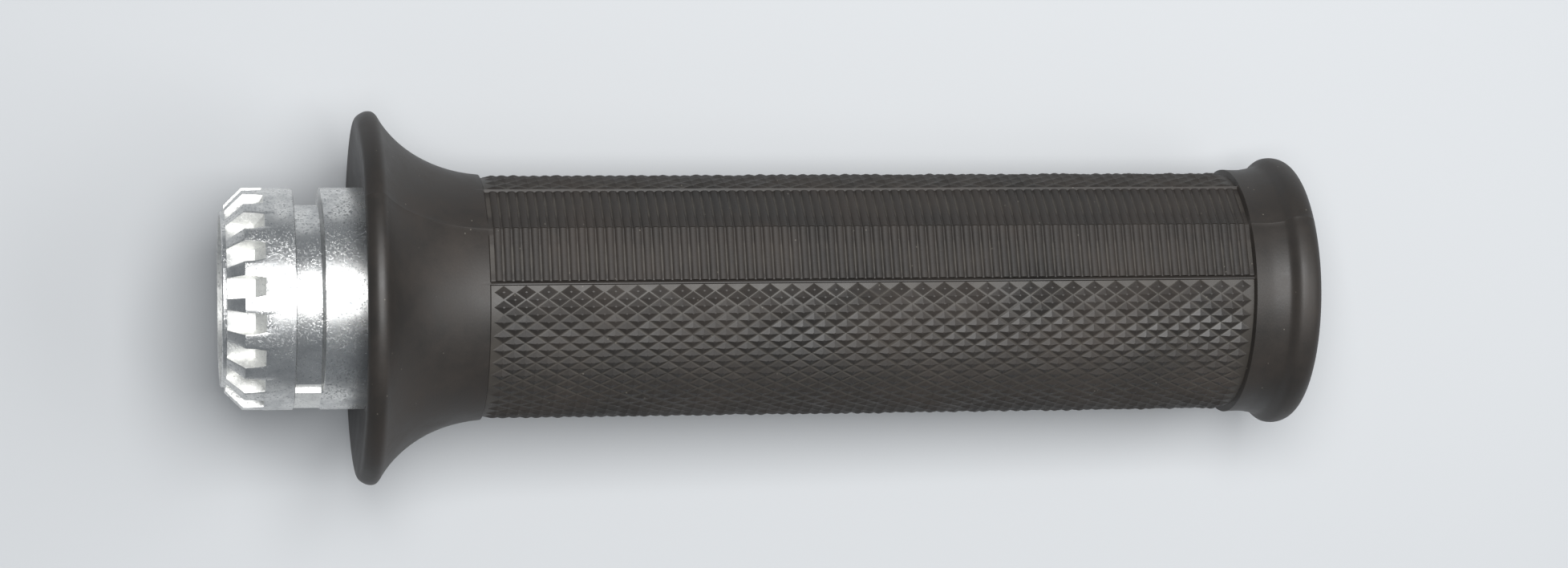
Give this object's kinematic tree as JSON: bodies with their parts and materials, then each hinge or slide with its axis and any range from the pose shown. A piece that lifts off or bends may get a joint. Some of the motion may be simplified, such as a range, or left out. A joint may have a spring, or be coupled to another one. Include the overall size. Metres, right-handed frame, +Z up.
{
  "type": "throttle grip",
  "caption": "Motorcycle twist throttle grip: die-cast bevel gear head with cable groove, steel tube, and moulded rubber grip with dished flange, diamond knurl and bulbous closed end",
  "frame": {"origin": "on the handlebar's axis, in the plane of the gear head's end face", "axes": "+X along the handlebar's axis to the closed outer end, +Z up; the ribbed strips and mould seams run along the grip at 38.5 and 218.5 degrees from +Z towards +Y"},
  "size_m": [0.1474, 0.05, 0.05],
  "materials": {
    "moulded_rubber": "matt, lightly dusty",
    "die_cast_zinc": "bright die-cast, pitted with age",
    "tube_steel": "drawn steel"
  },
  "bodies": {
    "root": {"rubber_grip": "moulded_rubber", "bevel_gear_head": "die_cast_zinc", "throttle_tube": "tube_steel"}
  },
  "joints": []
}
